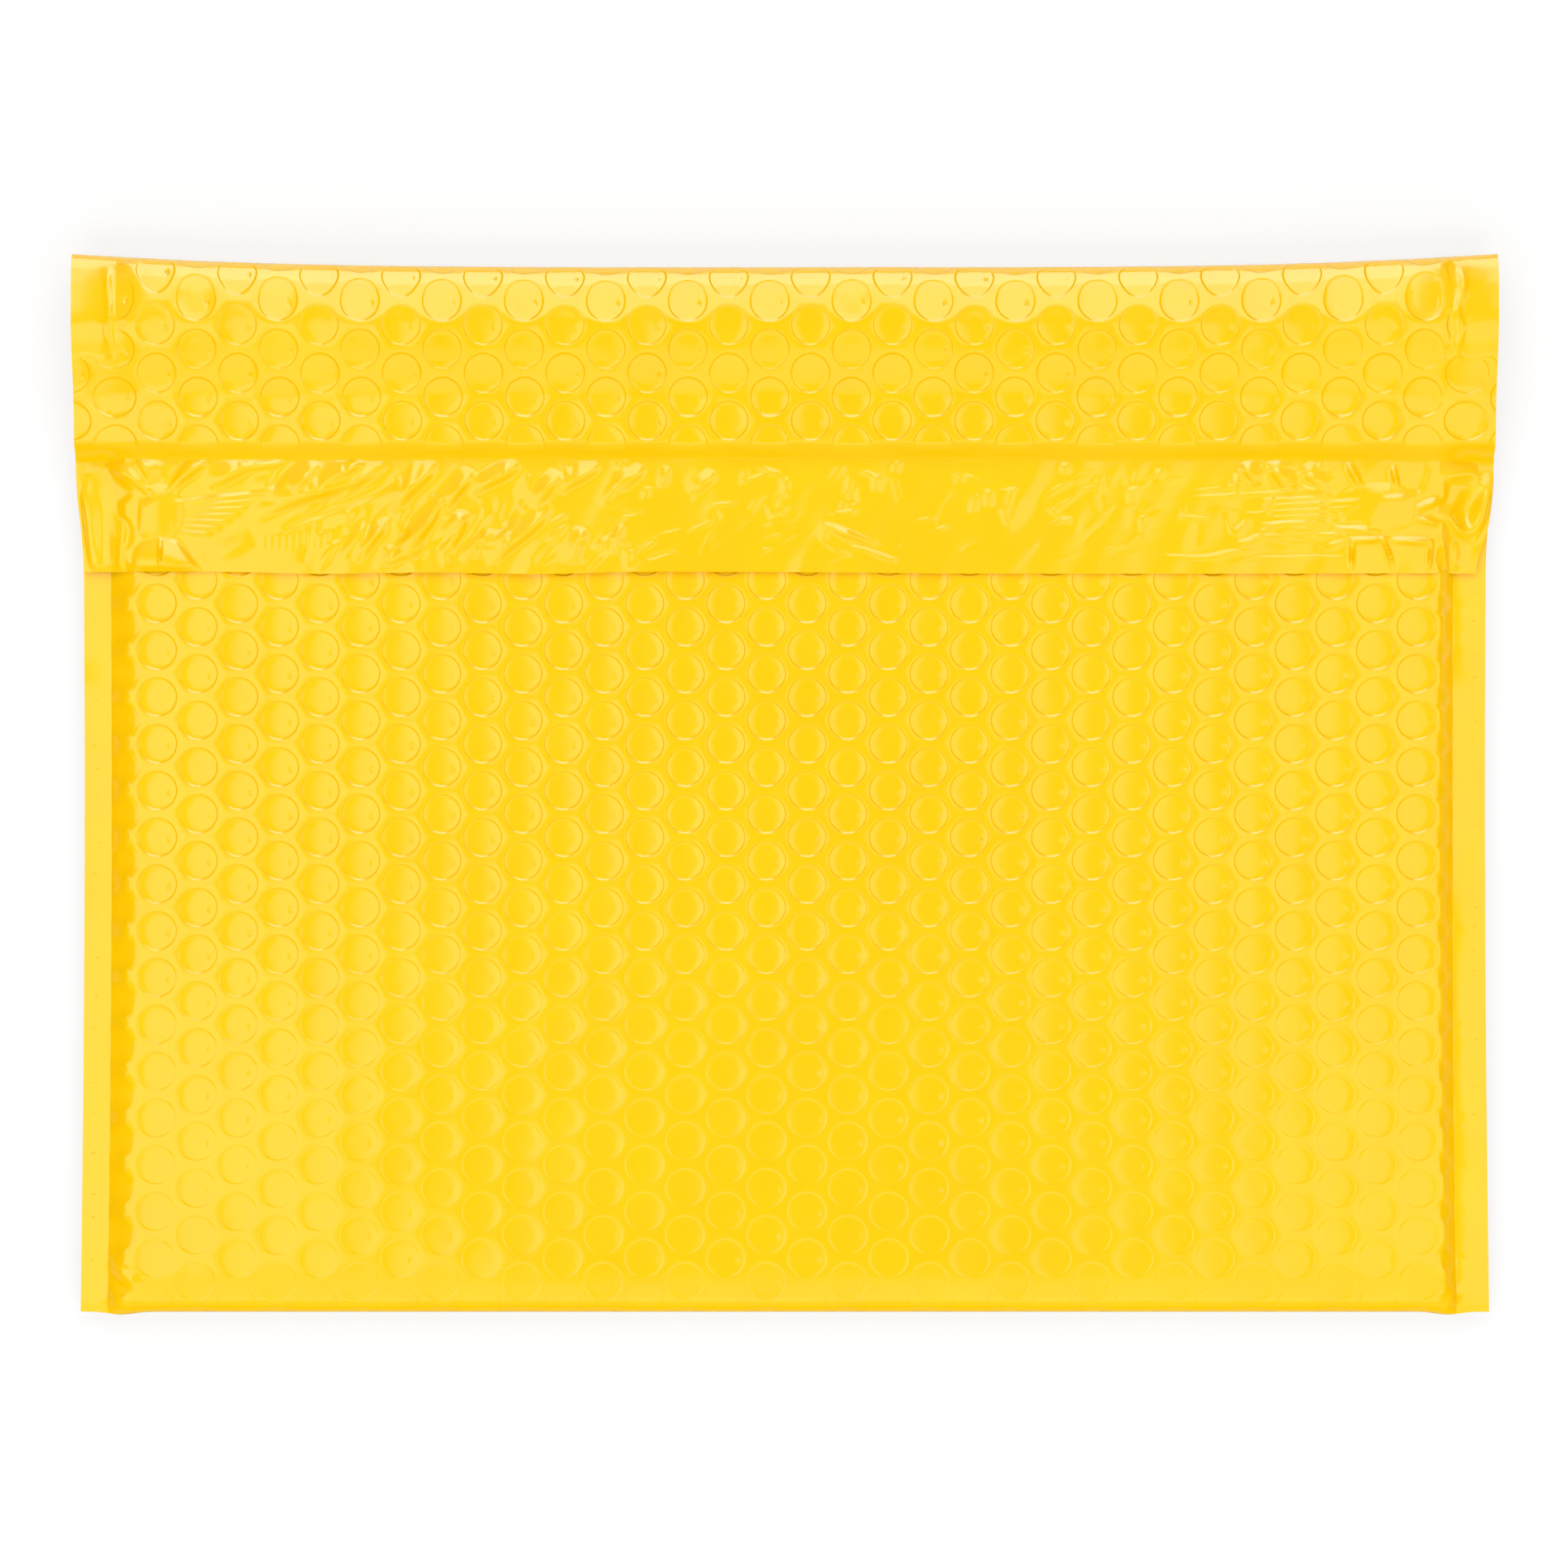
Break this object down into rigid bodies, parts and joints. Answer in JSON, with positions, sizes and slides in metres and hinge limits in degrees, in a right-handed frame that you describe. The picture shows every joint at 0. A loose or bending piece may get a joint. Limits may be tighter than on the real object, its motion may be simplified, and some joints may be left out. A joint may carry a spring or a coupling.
{
  "type": "padded envelope",
  "caption": "Yellow padded mailing envelope of poly bubble film, lying flat with its flap folded over and glued shut.",
  "frame": {"origin": "centre of the bounding box on the plane of the flat back, on which the envelope lies", "axes": "+X across the envelope over its side seams, +Y from the bottom fold to the top fold, +Z out of the front"},
  "size_m": [0.343, 0.255, 0.0148],
  "materials": {
    "yellow_film": "semi-gloss polyethylene film, slightly hazy"
  },
  "bodies": {
    "root": {"mailer": "yellow_film"}
  },
  "joints": []
}
